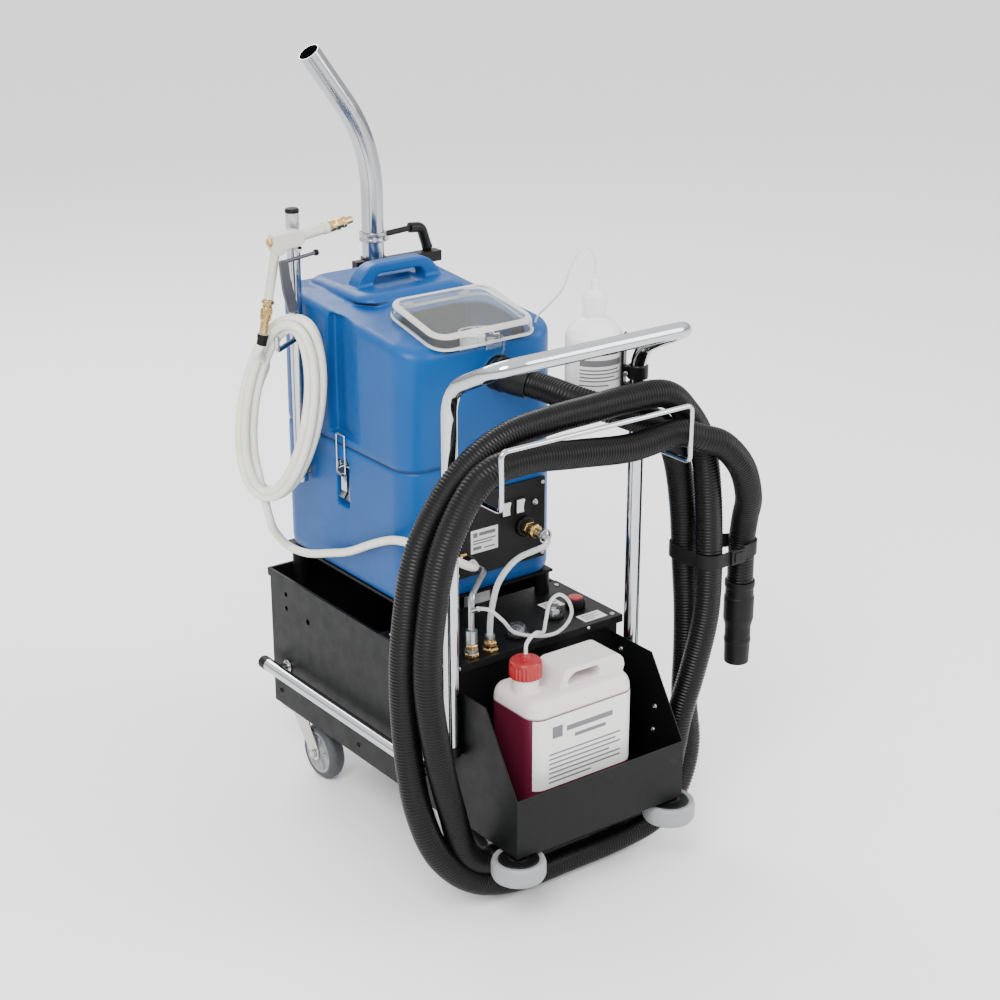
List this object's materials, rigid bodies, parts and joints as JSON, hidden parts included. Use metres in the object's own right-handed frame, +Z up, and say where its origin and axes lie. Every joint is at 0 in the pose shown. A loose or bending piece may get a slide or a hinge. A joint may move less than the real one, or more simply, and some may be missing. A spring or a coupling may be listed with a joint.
{
  "type": "spot extractor",
  "caption": "Wheeled spray extraction carpet cleaner: stacked tanks on a castor chassis, push handle, coiled vacuum hose, wand, spray gun and dosing canister.",
  "frame": {"origin": "on the floor, under the middle of the machine's bounding box taken without its hoses", "axes": "+Z up, the operator stands at -Y by the push handle, +X to the machine's right seen from there"},
  "size_m": [0.696, 0.7708, 1.2552],
  "materials": {
    "black_paint": "satin powder coat",
    "panel_black": "moulded, satin",
    "chrome": "polished",
    "zinc": "zinc plated",
    "steel": "satin",
    "brass": "machined",
    "blue_plastic": "roto-moulded, satin",
    "clear_plastic": "clear, polished",
    "white_plastic": "moulded",
    "beige_plastic": "moulded",
    "milky_plastic": "translucent, blow-moulded",
    "red_plastic": "moulded",
    "grey_rubber": "moulded",
    "black_rubber": "extruded, satin",
    "motor_casing": "moulded",
    "pale_hose": "smooth hose",
    "clear_tube": "clear tubing"
  },
  "bodies": {
    "frame": {"chassis": "black_paint", "deck_plate": "black_paint", "canister_tray": "black_paint", "push_handle": "chrome", "hose_hook": "chrome", "side_bar_left": "chrome", "side_bar_right": "chrome", "tank_stand": "black_paint", "solution_tank": "blue_plastic", "control_panel": "panel_black", "panel_coupling": "brass", "antifoam_bottle": "white_plastic", "bottle_holder": "panel_black", "castor_plate_front_left": "zinc", "castor_plate_front_right": "zinc", "castor_plate_rear_left": "zinc", "castor_plate_rear_right": "zinc", "gun_post": "chrome", "wand_clip": "panel_black", "vacuum_motor": "motor_casing", "standpipe": "white_plastic", "pump": "steel", "mains_inlet": "panel_black", "injector_line": "steel", "supply_tube": "clear_tube", "vacuum_hose": "black_rubber", "hose_inlet_cuff": "black_rubber", "hose_end_cuff": "black_rubber", "spray_hose_coil": "pale_hose", "spray_hose_run": "pale_hose", "spray_hose_tail": "pale_hose"},
    "recovery_tank": {"recovery_tank": "blue_plastic", "antifoam_tube": "clear_tube"},
    "lid": {"tank_lid": "clear_plastic"},
    "latch_lever": {"latch_lever": "chrome"},
    "latch_bail": {"latch_bail": "chrome"},
    "switch_left": {"switch_left": "white_plastic"},
    "switch_right": {"switch_right": "white_plastic"},
    "bottle_cap": {"bottle_cap": "white_plastic"},
    "canister": {"canister": "milky_plastic", "pickup_tube": "clear_tube"},
    "canister_cap": {"canister_cap": "red_plastic"},
    "deck_knob": {"deck_knob": "panel_black"},
    "float": {"float_ball": "white_plastic"},
    "gun": {"gun_body": "beige_plastic"},
    "gun_trigger": {"gun_trigger": "steel"},
    "gun_nozzle": {"gun_nozzle": "brass"},
    "gun_swivel": {"gun_swivel": "brass"},
    "wand": {"wand_tube": "chrome", "wand_grip": "panel_black"},
    "roller_left": {"fender_roller_left": "grey_rubber"},
    "roller_right": {"fender_roller_right": "grey_rubber"},
    "fork_front_left": {"castor_fork_front_left": "zinc"},
    "wheel_front_left": {"castor_wheel_front_left": "grey_rubber"},
    "fork_front_right": {"castor_fork_front_right": "zinc"},
    "wheel_front_right": {"castor_wheel_front_right": "grey_rubber"},
    "fork_rear_left": {"castor_fork_rear_left": "zinc"},
    "wheel_rear_left": {"castor_wheel_rear_left": "grey_rubber"},
    "fork_rear_right": {"castor_fork_rear_right": "zinc"},
    "wheel_rear_right": {"castor_wheel_rear_right": "grey_rubber"}
  },
  "joints": [
    {"name": "recovery_tank_lift", "type": "slide", "parent": "frame", "child": "recovery_tank", "axis": [0, 0, 1], "range_m": [0, 0.075]},
    {"name": "lid_hinge", "type": "hinge", "parent": "recovery_tank", "child": "lid", "pos_m": [0.0214, 0.089, 0.88348], "axis": [-1, 0, 0], "range_deg": [0, 95]},
    {"name": "latch_lever_hinge", "type": "hinge", "parent": "frame", "child": "latch_lever", "pos_m": [-0.1236, 0.139, 0.616], "axis": [0, 1, 0], "range_deg": [0, 75]},
    {"name": "latch_bail_hinge", "type": "hinge", "parent": "latch_lever", "child": "latch_bail", "pos_m": [-0.1332, 0.139, 0.606], "axis": [0, 1, 0], "range_deg": [-75, 0]},
    {"name": "switch_left_rock", "type": "hinge", "parent": "frame", "child": "switch_left", "pos_m": [0.0564, -0.054, 0.559], "axis": [1, 0, 0], "range_deg": [-14, 0]},
    {"name": "switch_right_rock", "type": "hinge", "parent": "frame", "child": "switch_right", "pos_m": [0.0844, -0.054, 0.559], "axis": [1, 0, 0], "range_deg": [-14, 0]},
    {"name": "bottle_cap_turn", "type": "hinge", "parent": "frame", "child": "bottle_cap", "pos_m": [0.1534, -0.152, 0.905], "axis": [0, 0, 1], "range_deg": [0, 360]},
    {"name": "canister_lift", "type": "slide", "parent": "frame", "child": "canister", "axis": [0, 0, 1], "range_m": [0, 0.12]},
    {"name": "canister_cap_turn", "type": "hinge", "parent": "canister", "child": "canister_cap", "pos_m": [-0.0636, -0.265, 0.391], "axis": [0, 0, 1], "range_deg": [0, 360]},
    {"name": "deck_knob_turn", "type": "hinge", "parent": "frame", "child": "deck_knob", "pos_m": [0.1544, -0.115, 0.3813], "axis": [0, 0, 1], "range_deg": [0, 270]},
    {"name": "float_rise", "type": "slide", "parent": "frame", "child": "float", "axis": [0, 0, 1], "range_m": [0, 0.012]},
    {"name": "gun_lift", "type": "slide", "parent": "frame", "child": "gun", "axis": [0, 0, 1], "range_m": [0, 0.05]},
    {"name": "gun_trigger_squeeze", "type": "hinge", "parent": "gun", "child": "gun_trigger", "pos_m": [-0.1936, 0.198, 0.953], "axis": [0, 1, 0], "range_deg": [0, 12], "stiffness_Nm_per_rad": 0.6, "springref_deg": -8.59},
    {"name": "gun_nozzle_twist", "type": "hinge", "parent": "gun", "child": "gun_nozzle", "pos_m": [-0.0972, 0.212, 0.9941], "axis": [0.9899, 0, 0.1414], "range_deg": [-90, 90]},
    {"name": "gun_swivel_turn", "type": "hinge", "parent": "gun", "child": "gun_swivel", "pos_m": [-0.2137, 0.212, 0.8926], "axis": [-0.2165, 0, -0.9763], "continuous": true},
    {"name": "wand_lift", "type": "slide", "parent": "frame", "child": "wand", "axis": [0, 0, 1], "range_m": [0, 0.1]},
    {"name": "roller_left_spin", "type": "hinge", "parent": "frame", "child": "roller_left", "pos_m": [-0.1346, -0.3424, 0.086], "axis": [0, 0, 1], "continuous": true},
    {"name": "roller_right_spin", "type": "hinge", "parent": "frame", "child": "roller_right", "pos_m": [0.1714, -0.3424, 0.086], "axis": [0, 0, 1], "continuous": true},
    {"name": "castor_front_left_swivel", "type": "hinge", "parent": "frame", "child": "fork_front_left", "pos_m": [-0.1206, -0.152, 0.1134], "axis": [0, 0, 1], "continuous": true},
    {"name": "castor_front_left_roll", "type": "hinge", "parent": "fork_front_left", "child": "wheel_front_left", "pos_m": [-0.1206, -0.192, 0.05], "axis": [1, 0, 0], "continuous": true},
    {"name": "castor_front_right_swivel", "type": "hinge", "parent": "frame", "child": "fork_front_right", "pos_m": [0.1574, -0.152, 0.1134], "axis": [0, 0, 1], "continuous": true},
    {"name": "castor_front_right_roll", "type": "hinge", "parent": "fork_front_right", "child": "wheel_front_right", "pos_m": [0.1574, -0.192, 0.05], "axis": [1, 0, 0], "continuous": true},
    {"name": "castor_rear_left_swivel", "type": "hinge", "parent": "frame", "child": "fork_rear_left", "pos_m": [-0.1206, 0.284, 0.1134], "axis": [0, 0, 1], "continuous": true},
    {"name": "castor_rear_left_roll", "type": "hinge", "parent": "fork_rear_left", "child": "wheel_rear_left", "pos_m": [-0.1206, 0.244, 0.05], "axis": [1, 0, 0], "continuous": true},
    {"name": "castor_rear_right_swivel", "type": "hinge", "parent": "frame", "child": "fork_rear_right", "pos_m": [0.1574, 0.284, 0.1134], "axis": [0, 0, 1], "continuous": true},
    {"name": "castor_rear_right_roll", "type": "hinge", "parent": "fork_rear_right", "child": "wheel_rear_right", "pos_m": [0.1574, 0.244, 0.05], "axis": [1, 0, 0], "continuous": true}
  ],
  "couplings": [
    {"joint": "latch_bail_hinge", "follows": "latch_lever_hinge", "ratio": -1}
  ]
}
